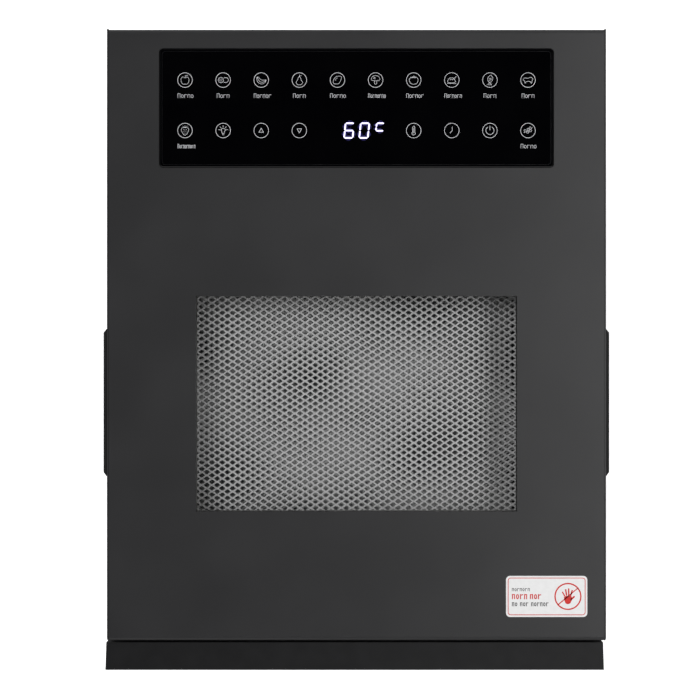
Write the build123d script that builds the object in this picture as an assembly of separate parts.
from build123d import *
import os
from math import cos, radians, sin

# Countertop food dehydrator with six slide-out drawers. Millimetres, +Z up, +X right.
# The origin is on the floor, below the middle of the plan. The drawers come out towards -Y.

# ---- Cabinet ---------------------------------------------------------------------------------
cabinet_width = 345.0  # outside the two side panels
panel_depth = 423.0  # top panel, front edge to rear edge
cabinet_height = 306.0  # floor to the upper face of the top panel
foot_height = 9.0
foot_diameter = 26.0
foot_taper = 2.0
foot_inset = 26.0  # from a side or end of the base to a foot's centre
foot_bore = 12.0  # counterbore that takes the head of the foot's screw
foot_bore_depth = 5.0
sheet = 1.0  # painted steel
seam = 0.2  # between the top panel and a side panel
bend = 3.0  # outer radius of the top panel's bends
side_bend = 2.0  # outer radius of a side panel's front corner
top_hem = 8.0  # height of the top panel's front and rear flanges
side_fold = 11.0  # width of the flanges folded in from the side panels
pan_wall = 16.0  # height of the base pan's upturned edges
kick_height = 19.0  # front frame seen below the lowest drawer
fold_gap = 0.5  # between flanges that end beside each other

# ---- Chamber ---------------------------------------------------------------------------------
chamber_space = 20.5  # from the outside of a side panel to the liner wall
liner_sheet = 0.8  # stainless steel
ceiling_drop = 9.0  # upper face of the top panel to the underside of the ceiling

# ---- Drawers ---------------------------------------------------------------------------------
drawer_count = 6
drawer_gap = 2.0  # between one drawer front and the next
front_thickness = 19.1
front_gap = 1.8  # between a drawer front and the top panel's front edge
front_top_drop = 4.0  # upper face of the top panel to the top drawer front
front_overhang = 0.5  # outer face beyond a side panel
front_back_inset = 0.1  # inner face short of a side panel
front_shift = -1.25  # the fronts hang this much to the left
front_edge_radius = 4.0
grip_height = 16.0  # groove under a front that the fingers pull on
grip_web = 5.0  # wall left behind the groove
grip_lip = 3.0
grip_lip_height = 4.0
tray_side_gap = 3.0  # tray frame to liner wall
tray_rear_gap = 11.8  # tray frame to baffle
tray_rim = 6.0  # width of the tray frame's rails
tray_height = 12.0
tray_lift = 10.0  # underside of a drawer front to the underside of its tray
tray_bar_width = 3.0
tray_bar_spread = 236.0  # between the two bars under the mesh
ledge_width = 3.0  # step in the frame that the mesh plate lies on
ledge_height = 2.0
mesh_thickness = 1.2
mesh_gap = 0.3  # around the mesh plate
mesh_cell_x = 29.6  # the plate's diamonds, drawn four times as coarse as 7.4 x 4.65
mesh_cell_y = 18.6
mesh_strand = 4.0
mesh_border = 10.0
runner_width = 8.5
runner_thickness = 1.2
runner_leg = 7.0
runner_gap = 0.3  # under a tray

# ---- Window ----------------------------------------------------------------------------------
window_width = 222.0
window_depth = 149.0
window_lap = 8.0  # glass beyond the opening, all round
gasket_thickness = 1.2
pane_thickness = 3.8

# ---- Controls --------------------------------------------------------------------------------
glass_width = 272.0
glass_depth = 81.7
glass_thickness = 2.0
glass_proud = 0.4  # above the top panel
glass_gap = 0.5  # around the glass
glass_corner = 2.5
glass_rear_margin = 13.85  # top panel's rear edge to the glass
glass_over_baffle = 0.55  # the glass reaches this much in front of the baffle
key_pitch = 26.33
key_columns = 10
key_ring = 10.7
key_mark = 4.28  # diameter of the mark inside a ring
key_line = 0.7
key_rear_row = 19.3  # row centres from the centre of the glass
key_front_row = -15.6
display_columns = (4, 5)  # columns of the front row that the display takes
print_thickness = 0.1
digit_height = 12.4
digit_width = 8.3
digit_bar = 1.4
digit_pitch = 12.0
unit_height = 8.3  # small raised character after the digits
rim_wall = 3.0  # housing beyond the glass
rim_plate = 3.0
box_inset_x = 40.0  # the housing's deep box, inside the glass's ends
box_inset_y = 6.0
box_depth = 15.0
box_wall = 2.0
board_thickness = 1.6
board_drop = 5.0  # underside of the glass to the control board
label_width = 56.2
label_depth = 28.4
label_corner = 2.8
label_thickness = 0.15
label_from_right = 41.1
label_from_front = 30.8

# ---- Lifting grips ---------------------------------------------------------------------------
handle_length = 103.8
handle_height = 46.0
handle_proud = 6.5
handle_drop = 45.0  # upper face of the top panel to the grip's centre
handle_chamfer = 2.5
cup_margin = 5.0  # flange around the cup
cup_depth = 15.5  # behind the side panel's face
cup_wall = 2.0
cup_gap = 0.5
grip_overhang = 10.0  # lip that the fingers hook behind
grip_overhang_thickness = 3.0

# ---- Fan and heater --------------------------------------------------------------------------
fan_gap_depth = 43.5  # baffle to motor plate
shaft_diameter = 6.0
shaft_clearance = 0.05  # radial
impeller_diameter = 144.0
impeller_hub = 16.0
impeller_depth = 24.0
impeller_plate = 1.5
impeller_eye = 92.0
impeller_blades = 24
blade_thickness = 1.2
impeller_back_gap = 6.0  # impeller to motor plate
nut_height = 5.0
nut_flats = 10.0
motor_diameter = 62.0
motor_length = 26.0
motor_stack = 15.0
motor_cap_diameter = 41.4
bracket_arm = 12.0
bracket_thickness = 2.0
bracket_reach = 44.0
heater_tube = 6.5
heater_gap = 14.75  # impeller to the inside of the ring
heater_gap_angle = 24.0
heater_from_plate = 20.0
heater_bushing_gap = 0.4
clip_width = 9.0
clip_thickness = 4.0
clip_count = 3
cutout_diameter = 16.0
cutout_height = 9.0
probe_diameter = 4.0
probe_length = 8.0
baffle_inlet = 112.0
baffle_inner_ring = 56.0  # ring that joins the bars in the inlet
baffle_bar = 3.0  # half the width of a bar
baffle_slot_length = 26.0
baffle_slot_height = 6.0
baffle_slot_pitch = 14.0
baffle_slot_x = 124.0

# ---- Supply ----------------------------------------------------------------------------------
power_board_width = 90.0
power_board_height = 110.0
power_board_x = -105.0
power_board_z = 95.0
stand_off = 8.0
transformer_side = 30.0
relay_width = 16.0
relay_height = 24.0
capacitor_diameter = 16.0
component_depth = 15.0
inlet_x = 120.0
inlet_z = 52.0
inlet_flange_width = 50.0
inlet_flange_height = 24.0
inlet_body_width = 28.0
inlet_body_height = 20.0
inlet_body_depth = 24.0
inlet_socket_width = 24.0
inlet_socket_height = 16.0
inlet_socket_depth = 17.0
inlet_pin = 2.0
inlet_pin_length = 12.0
intake_slot_width = 34.0
intake_slot_height = 3.2
intake_slot_pitch = 9.0
intake_columns = 3
intake_rows = 9
intake_column_pitch = 40.0
screw_diameter = 3.0
screw_hole = 3.2
screw_head = 6.0
screw_head_height = 1.0
screw_length = 9.0
wire_diameter = 3.0

# ---- Lamp ------------------------------------------------------------------------------------
lamp_width = 44.0
lamp_depth = 18.0
lamp_height = 5.0
lamp_from_baffle = 31.5
lens_height = 3.0
lens_gap = 0.3
lens_flange = 2.0

# ---- Places worked out from the sizes above --------------------------------------------------
skin_x = cabinet_width / 2
inner_x = skin_x - sheet  # inner face of a side panel
plan_depth = panel_depth + front_gap + front_thickness
rear_y = plan_depth / 2
panel_front_y = rear_y - panel_depth
front_back_y = panel_front_y - front_gap
front_face_y = front_back_y - front_thickness
frame_y = panel_front_y + sheet  # front face of the front frame
chamber_front_y = frame_y + sheet
glass_y = rear_y - glass_rear_margin - glass_depth / 2
baffle_y = glass_y - glass_depth / 2 + glass_over_baffle
rear_panel_y = rear_y - 2 * sheet  # inner face of the rear panel
liner_x = skin_x - chamber_space
front_width = cabinet_width + 2 * front_overhang
front_back_width = cabinet_width - 2 * front_back_inset
panel_z = cabinet_height - sheet  # underside of the top panel
pan_z = foot_height + sheet
floor_z = foot_height + pan_wall + fold_gap + liner_sheet
ceiling_z = cabinet_height - ceiling_drop
ceiling_top_z = ceiling_z + liner_sheet
front_bottom_z = foot_height + kick_height
front_top_z = cabinet_height - front_top_drop
drawer_pitch = (front_top_z - front_bottom_z + drawer_gap) / drawer_count
front_height = drawer_pitch - drawer_gap
tray_x = liner_x - tray_side_gap
tray_rear_y = baffle_y - tray_rear_gap
tray_length = tray_rear_y - front_back_y
window_y = (panel_front_y + baffle_y) / 2
pane_z = panel_z - gasket_thickness - pane_thickness
glass_top_z = cabinet_height + glass_proud
glass_bottom_z = glass_top_z - glass_thickness
rim_z = glass_bottom_z - rim_plate
box_z = rim_z - box_depth
plate_y = baffle_y + sheet + fan_gap_depth  # front face of the motor plate
plate_back_y = plate_y + sheet
fan_z = (floor_z + box_z) / 2
heater_ring = impeller_diameter + 2 * heater_gap + heater_tube  # centre line diameter
handle_z = cabinet_height - handle_drop
cup_height = handle_height - 2 * cup_margin
cup_length = handle_length - 2 * cup_margin
lamp_y = baffle_y - lamp_from_baffle


# ---- Helpers ---------------------------------------------------------------------------------
def block(x0, x1, y0, y1, z0, z1):
    """A box between two corners."""
    corner = (Align.MIN, Align.MIN, Align.MIN)
    return Pos(x0, y0, z0) * Box(x1 - x0, y1 - y0, z1 - z0, align=corner)


def tile(x, y, z0, width, depth, height, corner=0.0):
    """A plate centred at x, y with its underside at z0 and rounded upright corners."""
    shape = RectangleRounded(width, depth, corner) if corner else Rectangle(width, depth)
    return Pos(x, y, z0) * extrude(shape, height)


def upright(radius, x, y, z0, z1):
    """A cylinder along Z."""
    seat = (Align.CENTER, Align.CENTER, Align.MIN)
    return Pos(x, y, z0) * Cylinder(radius, z1 - z0, align=seat)


def lengthwise(radius, x, z, y0, y1):
    """A cylinder along Y, from y0 back to y1."""
    seat = (Align.CENTER, Align.CENTER, Align.MIN)
    return Pos(x, y0, z) * Rot(-90, 0, 0) * Cylinder(radius, y1 - y0, align=seat)


def tube_along_y(outer, inner, x, z, y0, y1):
    """A ring of two radii along Y."""
    return lengthwise(outer, x, z, y0, y1) - lengthwise(inner, x, z, y0, y1)


def on_left(shape):
    """The mirror image on the -X side."""
    return mirror(shape, about=Plane.YZ)


def around_axis(count, radius, first=0.0):
    """Points on a circle about the fan's axis, as x, z and the angle in degrees."""
    angles = [first + 360.0 * step / count for step in range(count)]
    return [(radius * cos(radians(a)), fan_z + radius * sin(radians(a)), a) for a in angles]


# ---- Cabinet ---------------------------------------------------------------------------------
def top_panel():
    """Sheet with its front and rear edges bent down, open for the window and the glass."""
    half = inner_x - seam
    solid = block(-half, half, panel_front_y, rear_y, cabinet_height - top_hem, cabinet_height)
    bends = solid.edges().filter_by(Axis.X).group_by(Axis.Z)[-1]
    solid = fillet(bends, bend)
    hollow = block(
        -half,
        half,
        panel_front_y + sheet,
        rear_y - sheet,
        cabinet_height - top_hem - sheet,
        panel_z,
    )
    inner_bends = hollow.edges().filter_by(Axis.X).group_by(Axis.Z)[-1]
    solid -= fillet(inner_bends, bend - sheet)
    window = tile(0, window_y, panel_z - sheet, window_width, window_depth, 3 * sheet)
    opening = tile(
        0,
        glass_y,
        panel_z - sheet,
        glass_width + 2 * glass_gap,
        glass_depth + 2 * glass_gap,
        3 * sheet,
        glass_corner + glass_gap,
    )
    return solid - window - opening


def side_panel():
    """Right side: a flat sheet with flanges folded in at the front, the top and the rear."""
    skin = block(inner_x - side_fold, skin_x, panel_front_y, rear_y, foot_height, cabinet_height)
    corner = skin.edges().filter_by(Axis.Z).sort_by_distance((skin_x, panel_front_y, 0))[0]
    skin = fillet(corner, side_bend)
    hollow = block(inner_x - side_fold, inner_x, frame_y, rear_y, foot_height, cabinet_height)
    hem_notch = block(
        inner_x - side_fold,
        inner_x,
        panel_front_y,
        rear_y,
        cabinet_height - top_hem - fold_gap,
        cabinet_height,
    )
    skin -= hollow + hem_notch
    upper = block(
        inner_x - side_fold,
        inner_x,
        chamber_front_y + bend,
        rear_panel_y - bend,
        panel_z - sheet,
        panel_z,
    )
    rear = block(
        inner_x - side_fold,
        inner_x,
        rear_panel_y - sheet,
        rear_panel_y,
        foot_height + pan_wall + fold_gap,
        cabinet_height - top_hem,
    )
    cup = block(
        inner_x - sheet,
        skin_x + sheet,
        window_y - cup_length / 2 - cup_gap,
        window_y + cup_length / 2 + cup_gap,
        handle_z - cup_height / 2 - cup_gap,
        handle_z + cup_height / 2 + cup_gap,
    )
    holes = [
        lengthwise(screw_hole / 2, x, z, rear_panel_y - 2 * sheet, rear_y) for x, z in rear_screws()
    ]
    return skin + upper + rear - cup - holes


def rear_screws():
    """Screw places on the right half of the rear panel."""
    x = inner_x - side_fold / 2
    low = foot_height + pan_wall + side_fold
    high = cabinet_height - top_hem - side_fold
    return [(x, low), (x, (low + high) / 2), (x, high)]


def rear_panel():
    """Flat sheet with the air intake slots and the cut-out for the mains inlet."""
    half = inner_x - seam
    outside_y = rear_panel_y + sheet
    panel = block(-half, half, rear_panel_y, outside_y, foot_height, panel_z - bend)
    cuts = [
        lengthwise(screw_hole / 2, side * x, z, rear_panel_y - sheet, rear_y)
        for side in (-1, 1)
        for x, z in rear_screws()
    ]
    for column in range(intake_columns):
        x = (column - (intake_columns - 1) / 2) * intake_column_pitch
        for row in range(intake_rows):
            z = fan_z + (row - (intake_rows - 1) / 2) * intake_slot_pitch
            slot = Rot(90, 0, 0) * extrude(SlotOverall(intake_slot_width, intake_slot_height), 3 * sheet)
            cuts.append(Pos(x, outside_y + sheet, z) * slot)
    cuts.append(
        block(
            inlet_x - inlet_body_width / 2 - cup_gap,
            inlet_x + inlet_body_width / 2 + cup_gap,
            rear_panel_y - sheet,
            rear_y,
            inlet_z - inlet_body_height / 2 - cup_gap,
            inlet_z + inlet_body_height / 2 + cup_gap,
        )
    )
    return panel - cuts


def base_pan():
    """Floor of the cabinet, with edges turned up inside the panels."""
    pan = block(-inner_x, inner_x, chamber_front_y, rear_panel_y, foot_height, foot_height + pan_wall)
    pan -= block(
        sheet - inner_x,
        inner_x - sheet,
        chamber_front_y + sheet,
        rear_panel_y - sheet,
        pan_z,
        foot_height + 2 * pan_wall,
    )
    holes = [upright(screw_hole / 2, x, y, foot_height - sheet, pan_z + sheet) for x, y in foot_places()]
    return pan - holes


def front_frame():
    """Painted face behind the drawer fronts, with one opening for all of them."""
    frame = block(-inner_x, inner_x, frame_y, chamber_front_y, foot_height, panel_z - bend)
    return frame - block(-liner_x, liner_x, frame_y - sheet, chamber_front_y + sheet, floor_z, ceiling_z)


def foot_places():
    """Centres of the four feet."""
    x = skin_x - foot_inset
    return [(sx * x, y) for sx in (-1, 1) for y in (panel_front_y + foot_inset, rear_y - foot_inset)]


def feet():
    """Four tapered rubber feet, each with a counterbore for its screw."""
    made = []
    for x, y in foot_places():
        foot = Cone(
            foot_diameter / 2 - foot_taper,
            foot_diameter / 2,
            foot_height,
            align=(Align.CENTER, Align.CENTER, Align.MIN),
        )
        foot = Pos(x, y, 0) * foot
        foot -= upright(foot_bore / 2, x, y, -sheet, foot_bore_depth)
        made.append(foot - upright(screw_hole / 2, x, y, 0, foot_height + sheet))
    return made


def cabinet_screws():
    """Screws of the rear panel and of the feet."""
    made = []
    for side in (-1, 1):
        for x, z in rear_screws():
            head = lengthwise(screw_head / 2, side * x, z, rear_panel_y + sheet, rear_y)
            made.append(head + lengthwise(screw_diameter / 2, side * x, z, rear_y - screw_length, rear_y))
    for x, y in foot_places():
        head = upright(screw_head / 2, x, y, foot_bore_depth - screw_head_height, foot_bore_depth)
        tip_z = foot_bore_depth + screw_length
        made.append(head + upright(screw_diameter / 2, x, y, foot_bore_depth, tip_z))
    return made


def handle():
    """Right grip: a cup let into the side panel, with a lip to hook the fingers behind."""
    outer_x = skin_x + handle_proud
    cup_x = skin_x - cup_depth
    flange = block(
        skin_x,
        outer_x,
        window_y - handle_length / 2,
        window_y + handle_length / 2,
        handle_z - handle_height / 2,
        handle_z + handle_height / 2,
    )
    flange = chamfer(flange.faces().sort_by(Axis.X)[-1].edges(), handle_chamfer)
    cup = block(
        cup_x,
        skin_x,
        window_y - cup_length / 2,
        window_y + cup_length / 2,
        handle_z - cup_height / 2,
        handle_z + cup_height / 2,
    )
    hollow_half = cup_length / 2 - cup_wall
    bottom_z = handle_z - cup_height / 2 + cup_wall
    top_z = handle_z + cup_height / 2 - cup_wall
    mouth = block(
        cup_x + cup_wall,
        outer_x + sheet,
        window_y - hollow_half,
        window_y + hollow_half,
        bottom_z,
        top_z - grip_overhang,
    )
    behind = block(
        cup_x + cup_wall,
        outer_x - grip_overhang_thickness,
        window_y - hollow_half,
        window_y + hollow_half,
        bottom_z,
        top_z,
    )
    return flange + cup - mouth - behind


# ---- Chamber ---------------------------------------------------------------------------------
def liner():
    """Right wall of the chamber."""
    return block(
        liner_x, liner_x + liner_sheet, chamber_front_y, baffle_y, floor_z - liner_sheet, ceiling_top_z
    )


def chamber_floor():
    """Stainless floor between the liner walls."""
    return block(-liner_x, liner_x, chamber_front_y, baffle_y, floor_z - liner_sheet, floor_z)


def chamber_ceiling():
    """Stainless ceiling, open for the window and the lamp."""
    ceiling = block(-liner_x, liner_x, chamber_front_y, baffle_y, ceiling_z, ceiling_top_z)
    window = tile(0, window_y, ceiling_z - sheet, window_width, window_depth, 3 * sheet)
    lamp = tile(
        0, lamp_y, ceiling_z - sheet, lamp_width + 2 * lens_gap, lamp_depth + 2 * lens_gap, 3 * sheet
    )
    return ceiling - window - lamp


def drawer_z(level):
    """Underside of a drawer front, counted from the lowest."""
    return front_bottom_z + level * drawer_pitch


def runners():
    """Right side: one angle for each drawer, open upwards, on the liner wall."""
    made = []
    for level in range(drawer_count):
        top_z = drawer_z(level) + tray_lift - runner_gap
        shelf = block(
            liner_x - runner_width,
            liner_x,
            chamber_front_y,
            tray_rear_y,
            top_z - runner_thickness,
            top_z,
        )
        leg = block(
            liner_x - runner_thickness, liner_x, chamber_front_y, tray_rear_y, top_z - runner_leg, top_z
        )
        made.append(shelf + leg)
    return made


def fan_baffle():
    """Wall between chamber and fan: round inlet with bars, and outlet slots at both sides."""
    half = inner_x - sheet - fold_gap
    wall = block(-half, half, baffle_y, baffle_y + sheet, pan_z, ceiling_top_z)
    y0, y1 = baffle_y, baffle_y + sheet
    bars = block(-baffle_inlet, baffle_inlet, y0, y1, fan_z - baffle_bar, fan_z + baffle_bar)
    bars += block(-baffle_bar, baffle_bar, y0, y1, fan_z - baffle_inlet, fan_z + baffle_inlet)
    bars += tube_along_y(
        baffle_inner_ring / 2 + baffle_bar, baffle_inner_ring / 2 - baffle_bar, 0, fan_z, y0, y1
    )
    inlet = lengthwise(baffle_inlet / 2, 0, fan_z, baffle_y - sheet, baffle_y + 2 * sheet) - bars
    rows = int((ceiling_z - floor_z - 2 * baffle_slot_pitch) / baffle_slot_pitch)
    slots = [
        block(
            side * baffle_slot_x - baffle_slot_length / 2,
            side * baffle_slot_x + baffle_slot_length / 2,
            baffle_y - sheet,
            baffle_y + 2 * sheet,
            floor_z + baffle_slot_pitch * (row + 1),
            floor_z + baffle_slot_pitch * (row + 1) + baffle_slot_height,
        )
        for side in (-1, 1)
        for row in range(rows)
    ]
    probe = lengthwise(
        probe_diameter / 2 + shaft_clearance, *probe_place(), baffle_y - sheet, baffle_y + 2 * sheet
    )
    return wall - inlet - slots - probe


def probe_place():
    """Where the temperature probe comes through the baffle, as x and z."""
    return baffle_inlet / 2 + probe_length, box_z - 2 * probe_diameter


def temperature_probe():
    """Closed stainless sheath with a collar behind the baffle."""
    x, z = probe_place()
    sheath = lengthwise(probe_diameter / 2, x, z, baffle_y - probe_length, baffle_y + sheet + probe_length)
    return sheath + lengthwise(
        probe_diameter, x, z, baffle_y + sheet, baffle_y + sheet + probe_diameter / 2
    )


def lamp_module():
    """Light board above the ceiling."""
    return tile(
        0,
        lamp_y,
        ceiling_top_z,
        lamp_width + 2 * lens_flange,
        lamp_depth + 2 * lens_flange,
        lamp_height,
    )


def lamp_lens():
    """Clear cover that fills the opening under the lamp board."""
    return tile(0, lamp_y, ceiling_top_z - lens_height, lamp_width, lamp_depth, lens_height)


# ---- Window ----------------------------------------------------------------------------------
def window_ring(z0, height, margin):
    """A flat frame around the window opening."""
    outer = tile(
        0, window_y, z0, window_width + 2 * margin, window_depth + 2 * margin, height
    )
    return outer - tile(0, window_y, z0, window_width, window_depth, height)


def window_glass():
    """Toughened pane below the top panel."""
    return tile(
        0, window_y, pane_z, window_width + 2 * window_lap, window_depth + 2 * window_lap, pane_thickness
    )


def window_gasket():
    """Silicone seal between the pane and the top panel."""
    return window_ring(pane_z + pane_thickness, gasket_thickness, window_lap)


def window_frame():
    """Retainer that carries the pane on the ceiling."""
    return window_ring(ceiling_top_z, pane_z - ceiling_top_z, window_lap)


# ---- Controls --------------------------------------------------------------------------------
def touch_glass():
    """Black glass cover of the keys, with a broken upper edge."""
    glass = tile(0, glass_y, glass_bottom_z, glass_width, glass_depth, glass_thickness, glass_corner)
    return chamfer(glass.faces().sort_by(Axis.Z)[-1].edges(), glass_proud)


def key_places():
    """Centres of all keys: a full rear row, and a front row that leaves out the display."""
    columns = [(column - (key_columns - 1) / 2) * key_pitch for column in range(key_columns)]
    rear = [(x, glass_y + key_rear_row) for x in columns]
    front = [
        (x, glass_y + key_front_row) for number, x in enumerate(columns) if number not in display_columns
    ]
    return rear + front


def key_symbols():
    """Printed ring and centre mark of each touch key."""
    made = []
    for x, y in key_places():
        ring = upright(key_ring / 2, x, y, glass_top_z, glass_top_z + print_thickness)
        ring -= upright(key_ring / 2 - key_line, x, y, glass_top_z, glass_top_z + print_thickness)
        made.append(ring)
        made.append(upright(key_mark / 2, x, y, glass_top_z, glass_top_z + print_thickness))
    return made


def digit(x, y, width, height, bars):
    """A seven-segment character from its lower left corner. Bars are named a to g."""
    half = height / 2
    t = digit_bar
    places = {
        "a": (0, width, height - t, height),
        "b": (width - t, width, half, height),
        "c": (width - t, width, 0, half),
        "d": (0, width, 0, t),
        "e": (0, t, 0, half),
        "f": (0, t, half, height),
        "g": (0, width, half - t / 2, half + t / 2),
    }
    low, high = glass_top_z, glass_top_z + print_thickness
    shapes = [
        block(x + places[b][0], x + places[b][1], y + places[b][2], y + places[b][3], low, high)
        for b in bars
    ]
    return sum(shapes[1:], shapes[0])


def display_digits():
    """Lit characters: 60 and a small raised degree unit."""
    y = glass_y + key_front_row - digit_height / 2
    first = -digit_width
    return [
        digit(first, y, digit_width, digit_height, "acdefg"),
        digit(first + digit_pitch, y, digit_width, digit_height, "abcdef"),
        digit(
            first + 2 * digit_pitch,
            y + digit_height - unit_height,
            digit_width,
            unit_height,
            "adef",
        ),
    ]


def control_housing():
    """Moulded frame that carries the glass, with a deeper box for the board."""
    rim_width = glass_width + 2 * rim_wall
    rim_depth = glass_depth + 2 * rim_wall
    box_width = glass_width - 2 * box_inset_x
    box_length = glass_depth - 2 * box_inset_y
    body = tile(0, glass_y, rim_z, rim_width, rim_depth, panel_z - rim_z)
    body += tile(0, glass_y, box_z, box_width, box_length, box_depth)
    pocket = tile(
        0,
        glass_y,
        glass_bottom_z,
        glass_width + 2 * glass_gap,
        glass_depth + 2 * glass_gap,
        glass_thickness,
    )
    inside = tile(
        0,
        glass_y,
        box_z + box_wall,
        box_width - 2 * box_wall,
        box_length - 2 * box_wall,
        box_depth + rim_plate,
    )
    return body - pocket - inside


def board_plan():
    """Width and length that fit inside the housing's box."""
    width = glass_width - 2 * box_inset_x - 2 * box_wall - 2 * cup_gap
    length = glass_depth - 2 * box_inset_y - 2 * box_wall - 2 * cup_gap
    return width, length


def control_board():
    """Circuit board on four posts from the floor of the box."""
    width, length = board_plan()
    z = glass_bottom_z - board_drop - board_thickness
    board = tile(0, glass_y, z, width, length, board_thickness)
    for sx in (-1, 1):
        for sy in (-1, 1):
            x = sx * (width / 2 - stand_off)
            y = glass_y + sy * (length / 2 - stand_off)
            board += upright(screw_diameter, x, y, box_z + box_wall, z)
    return board


def display_module():
    """Segment display on the board, behind the glass."""
    z = glass_bottom_z - board_drop
    return tile(0, glass_y + key_front_row, z, 4 * digit_pitch, digit_height + 2 * rim_wall, board_drop)


def warning_label():
    """Thin label near the front right corner."""
    x = skin_x - label_from_right
    y = panel_front_y + label_from_front
    return tile(x, y, cabinet_height, label_width, label_depth, label_thickness, label_corner)


# ---- Fan, heater and supply ------------------------------------------------------------------
def motor_plate():
    """Rear wall of the fan space, with a foot on the base pan."""
    half = inner_x - side_fold - fold_gap
    plate = block(-half, half, plate_y, plate_back_y, pan_z, box_z - fold_gap)
    plate += block(-half, half, plate_y, plate_y + side_fold, pan_z, pan_z + sheet)
    cuts = [lengthwise(shaft_diameter, 0, fan_z, plate_y - sheet, plate_back_y + sheet)]
    radius = heater_tube / 2 + heater_bushing_gap
    for x, z in heater_ends():
        cuts.append(lengthwise(radius, x, z, plate_y - sheet, plate_back_y + sheet))
    return plate - cuts


def fan_shaft():
    """Motor shaft, from the nut in front of the impeller to the rear bearing."""
    front_y = plate_y - impeller_back_gap - impeller_depth - nut_height
    return lengthwise(
        shaft_diameter / 2, 0, fan_z, front_y, plate_back_y + motor_length + bracket_thickness
    )


def fan_impeller():
    """Centrifugal wheel: hub, back plate, front ring and straight blades."""
    back_y = plate_y - impeller_back_gap
    front_y = back_y - impeller_depth
    wheel = lengthwise(impeller_diameter / 2, 0, fan_z, back_y - impeller_plate, back_y)
    wheel += tube_along_y(
        impeller_diameter / 2, impeller_eye / 2, 0, fan_z, front_y, front_y + impeller_plate
    )
    wheel += lengthwise(impeller_hub / 2, 0, fan_z, front_y, back_y)
    length = (impeller_diameter - impeller_eye) / 2
    middle = (impeller_diameter + impeller_eye) / 4
    blade = Box(length, impeller_depth, blade_thickness)
    for x, z, angle in around_axis(impeller_blades, middle):
        wheel += Pos(x, (front_y + back_y) / 2, z) * Rot(0, -angle, 0) * blade
    return wheel - lengthwise(shaft_diameter / 2, 0, fan_z, front_y, back_y)


def fan_nut():
    """Hexagon nut that holds the impeller on the shaft."""
    front_y = plate_y - impeller_back_gap - impeller_depth - nut_height
    nut = Rot(-90, 0, 0) * extrude(RegularPolygon(nut_flats / 2, 6, major_radius=False), nut_height)
    nut = Pos(0, front_y, fan_z) * nut
    return nut - lengthwise(shaft_diameter / 2, 0, fan_z, front_y, front_y + nut_height)


def fan_motor():
    """Round motor with its lamination stack, bored for the shaft."""
    gap_y = plate_back_y + bracket_thickness
    motor = lengthwise(motor_diameter / 2, 0, fan_z, gap_y, gap_y + motor_stack)
    motor += lengthwise(motor_cap_diameter / 2, 0, fan_z, gap_y + motor_stack, plate_back_y + motor_length)
    return motor - lengthwise(
        shaft_diameter / 2 + shaft_clearance, 0, fan_z, gap_y, plate_back_y + motor_length
    )


def motor_bracket():
    """Cross that screws the motor to its plate."""
    y0, y1 = plate_back_y, plate_back_y + bracket_thickness
    arms = block(-bracket_reach, bracket_reach, y0, y1, fan_z - bracket_arm / 2, fan_z + bracket_arm / 2)
    arms += block(-bracket_arm / 2, bracket_arm / 2, y0, y1, fan_z - bracket_reach, fan_z + bracket_reach)
    return arms - lengthwise(shaft_diameter / 2 + heater_bushing_gap, 0, fan_z, y0, y1)


def heater_ends():
    """Where the two ends of the heater pass the motor plate, as x and z."""
    radius = heater_ring / 2
    half_gap = radians(heater_gap_angle / 2)
    return [(side * radius * sin(half_gap), fan_z + radius * cos(half_gap)) for side in (-1, 1)]


def heater_coil():
    """Tubular ring around the impeller, open at the top, with both ends led to the rear."""
    y = plate_y - heater_from_plate
    tube = heater_tube / 2
    section = Pos(heater_ring / 2, 0, 0) * Circle(tube)
    ring = revolve(Plane.XZ * section, Axis.Z, 360 - heater_gap_angle)
    coil = Pos(0, y, fan_z) * Rot(-90, 0, 0) * Rot(0, 0, -90 + heater_gap_angle / 2) * ring
    for x, z in heater_ends():
        coil += Pos(x, y, z) * Sphere(tube)
        coil += lengthwise(tube, x, z, y, plate_back_y + stand_off)
    return coil


def heater_clips():
    """Posts on the motor plate that hold the ring."""
    made = []
    y = plate_y - heater_from_plate
    for x, z, angle in around_axis(clip_count, heater_ring / 2, -90.0):
        post = Box(clip_width, heater_from_plate + clip_width, clip_thickness)
        post = Pos(x, plate_y - (heater_from_plate + clip_width) / 2, z) * Rot(0, -angle, 0) * post
        groove = Pos(0, y, fan_z) * Rot(-90, 0, 0) * Torus(
            heater_ring / 2, heater_tube / 2 + shaft_clearance
        )
        made.append(post - groove)
    return made


def thermal_cutout():
    """Disc thermostat on the motor plate, below the fan."""
    x, z = heater_ring / 2 + 2 * cutout_diameter, pan_z + 2 * cutout_diameter
    body = lengthwise(cutout_diameter / 2, x, z, plate_y - cutout_height, plate_y)
    return body + block(
        x - cutout_diameter, x + cutout_diameter, plate_y - sheet, plate_y, z - screw_head, z + screw_head
    )


def power_board():
    """Supply board standing on posts behind the motor plate, with its large components."""
    y0 = plate_back_y + stand_off
    y1 = y0 + board_thickness
    half_x = power_board_width / 2
    half_z = power_board_height / 2
    board = block(
        power_board_x - half_x,
        power_board_x + half_x,
        y0,
        y1,
        power_board_z - half_z,
        power_board_z + half_z,
    )
    for sx in (-1, 1):
        for sz in (-1, 1):
            x = power_board_x + sx * (half_x - stand_off)
            z = power_board_z + sz * (half_z - stand_off)
            board += lengthwise(screw_diameter, x, z, plate_back_y, y0)
    y2 = y1 + component_depth
    for width, height, side in (
        (transformer_side, transformer_side, -1),
        (relay_width, relay_height, 1),
    ):
        z = power_board_z + side * half_z / 2
        board += block(
            power_board_x - width / 2,
            power_board_x + width / 2,
            y1,
            y2,
            z - height / 2,
            z + height / 2,
        )
        board += lengthwise(capacitor_diameter / 2, power_board_x + half_x / 2, z, y1, y2)
    return board


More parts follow.
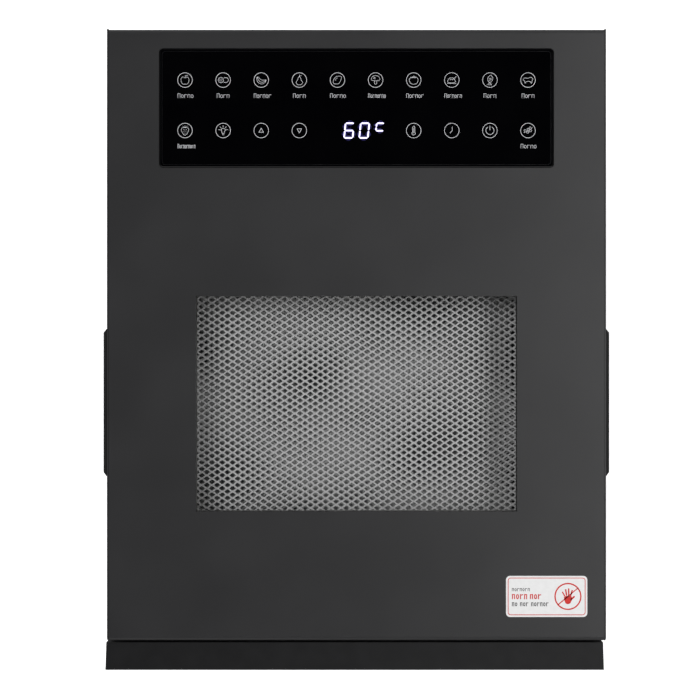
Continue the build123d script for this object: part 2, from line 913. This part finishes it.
def mains_inlet():
    """Three-pin appliance inlet: flange on the rear panel, socket and pins inside."""
    face_y = rear_panel_y + sheet
    body_y = rear_y - inlet_body_depth
    inlet = block(
        inlet_x - inlet_flange_width / 2,
        inlet_x + inlet_flange_width / 2,
        face_y,
        rear_y,
        inlet_z - inlet_flange_height / 2,
        inlet_z + inlet_flange_height / 2,
    )
    inlet += block(
        inlet_x - inlet_body_width / 2,
        inlet_x + inlet_body_width / 2,
        body_y,
        face_y,
        inlet_z - inlet_body_height / 2,
        inlet_z + inlet_body_height / 2,
    )
    floor_y = rear_y - inlet_socket_depth
    inlet -= block(
        inlet_x - inlet_socket_width / 2,
        inlet_x + inlet_socket_width / 2,
        floor_y,
        rear_y + sheet,
        inlet_z - inlet_socket_height / 2,
        inlet_z + inlet_socket_height / 2,
    )
    spread = inlet_socket_width / 2 - inlet_socket_height / 3
    for x, z in ((-spread, -inlet_pin), (0, inlet_pin), (spread, -inlet_pin)):
        inlet += block(
            inlet_x + x - inlet_pin / 2,
            inlet_x + x + inlet_pin / 2,
            floor_y,
            floor_y + inlet_pin_length,
            inlet_z + z - inlet_pin,
            inlet_z + z + inlet_pin,
        )
    return inlet


def wiring_harness():
    """Two leads in the rear compartment: inlet to supply board, and supply board to controls."""
    y = rear_panel_y - side_fold
    board_z = power_board_z + power_board_height / 2
    board_y = plate_back_y + stand_off + board_thickness
    low_z = pan_z + 2 * wire_diameter
    bend_radius = 3 * wire_diameter
    control_z = box_z
    supply = FilletPolyline(
        (inlet_x, rear_y - inlet_body_depth, inlet_z),
        (inlet_x, rear_y - inlet_body_depth - side_fold, inlet_z),
        (inlet_x, rear_y - inlet_body_depth - side_fold, low_z),
        (power_board_x, rear_y - inlet_body_depth - side_fold, low_z),
        radius=bend_radius / 3,
    )
    control = FilletPolyline(
        (power_board_x + stand_off, board_y, board_z - bend_radius),
        (power_board_x + stand_off, y, board_z - bend_radius),
        (power_board_x + stand_off, y, control_z),
        radius=bend_radius,
    )
    wires = []
    for line in (supply, control):
        start = Plane(line @ 0, z_dir=line % 0)
        wires.append(sweep(start * Circle(wire_diameter / 2), path=line))
    return wires


# ---- Drawers ---------------------------------------------------------------------------------
def drawer_front(level):
    """Moulded front: a thick bar with a finger groove below it."""
    z0 = drawer_z(level)
    z1 = z0 + front_height
    groove_z = z0 + grip_height
    with BuildSketch(Plane.YZ) as section:
        with BuildLine():
            Polyline(
                (front_back_y, z0),
                (front_back_y, z1),
                (front_face_y, z1),
                (front_face_y, groove_z - grip_lip_height),
                (front_face_y + grip_lip, groove_z - grip_lip_height),
                (front_face_y + grip_lip, groove_z),
                (front_back_y - grip_web, groove_z),
                (front_back_y - grip_web, z0),
                close=True,
            )
        make_face()
        fillet(section.vertices().sort_by_distance((0, front_face_y, z1))[0], front_edge_radius)
    bar = extrude(section.sketch, front_width / 2, both=True)
    with BuildSketch() as plan:
        with BuildLine():
            Polyline(
                (-front_width / 2, front_face_y),
                (front_width / 2, front_face_y),
                (front_back_width / 2, front_back_y),
                (-front_back_width / 2, front_back_y),
                close=True,
            )
        make_face()
    outline = Pos(0, 0, z0) * extrude(plan.sketch, front_height)
    return Pos(front_shift, 0, 0) * (bar & outline)


def drawer_frame(level):
    """Tray frame: a rim with a ledge for the mesh and two bars across it."""
    z0 = drawer_z(level) + tray_lift
    z1 = z0 + tray_height
    inner = tray_x - tray_rim
    frame = block(-tray_x, tray_x, front_back_y, tray_rear_y, z0, z1)
    frame -= block(
        -inner, inner, front_back_y + tray_rim, tray_rear_y - tray_rim, z0 + ledge_height, z1 + sheet
    )
    frame -= block(
        ledge_width - inner,
        inner - ledge_width,
        front_back_y + tray_rim + ledge_width,
        tray_rear_y - tray_rim - ledge_width,
        z0 - sheet,
        z1,
    )
    for side in (-1, 1):
        x = side * tray_bar_spread / 2
        frame += block(
            x - tray_bar_width / 2,
            x + tray_bar_width / 2,
            front_back_y + tray_rim,
            tray_rear_y - tray_rim,
            z0,
            z0 + ledge_height,
        )
    return frame


def mesh_plate():
    """Flat mesh of a tray at its own height zero, with rows of diamond holes."""
    width = 2 * (tray_x - tray_rim - mesh_gap)
    length = tray_length - 2 * tray_rim - 2 * mesh_gap
    columns = int((width - 2 * mesh_border) / mesh_cell_x)
    rows = int((length - 2 * mesh_border) / mesh_cell_y)
    half_x = (mesh_cell_x - mesh_strand) / 2
    half_y = (mesh_cell_y - mesh_strand) / 2
    diamond = Polygon((half_x, 0), (0, half_y), (-half_x, 0), (0, -half_y), align=None)
    straight = GridLocations(mesh_cell_x, mesh_cell_y, columns, rows)
    between = GridLocations(mesh_cell_x, mesh_cell_y, columns - 1, rows - 1)
    holes = [place * diamond for place in list(straight) + list(between)]
    middle_y = front_back_y + tray_length / 2
    return Pos(0, middle_y, 0) * extrude(Rectangle(width, length) - holes, mesh_thickness)


# ---- Writing the parts -----------------------------------------------------------------------
def write(name, shape):
    """One STEP file for a node of one or several solids."""
    solids = shape if isinstance(shape, list) else [shape]
    flat = [solid for item in solids for solid in item.solids()]
    export_step(flat[0] if len(flat) == 1 else Compound(children=flat), f"parts/{name}.step")


os.makedirs("parts", exist_ok=True)

for maker in (
    top_panel,
    rear_panel,
    base_pan,
    front_frame,
    feet,
    cabinet_screws,
    chamber_floor,
    chamber_ceiling,
    fan_baffle,
    temperature_probe,
    lamp_module,
    lamp_lens,
    window_glass,
    window_gasket,
    window_frame,
    touch_glass,
    key_symbols,
    display_digits,
    control_housing,
    control_board,
    display_module,
    warning_label,
    motor_plate,
    fan_shaft,
    fan_impeller,
    fan_nut,
    fan_motor,
    motor_bracket,
    heater_coil,
    heater_clips,
    thermal_cutout,
    power_board,
    mains_inlet,
    wiring_harness,
):
    write(maker.__name__, maker())

write("right_side_panel", side_panel())
write("left_side_panel", on_left(side_panel()))
write("right_handle", handle())
write("left_handle", on_left(handle()))
write("right_liner", liner())
write("left_liner", on_left(liner()))
write("right_runners", runners())
write("left_runners", [on_left(runner) for runner in runners()])

mesh = mesh_plate()
for level in range(drawer_count):
    number = level + 1
    write(f"drawer_{number}_front", drawer_front(level))
    write(f"drawer_{number}_frame", drawer_frame(level))
    mesh_z = drawer_z(level) + tray_lift + ledge_height
    write(f"drawer_{number}_mesh", Pos(0, 0, mesh_z) * mesh)
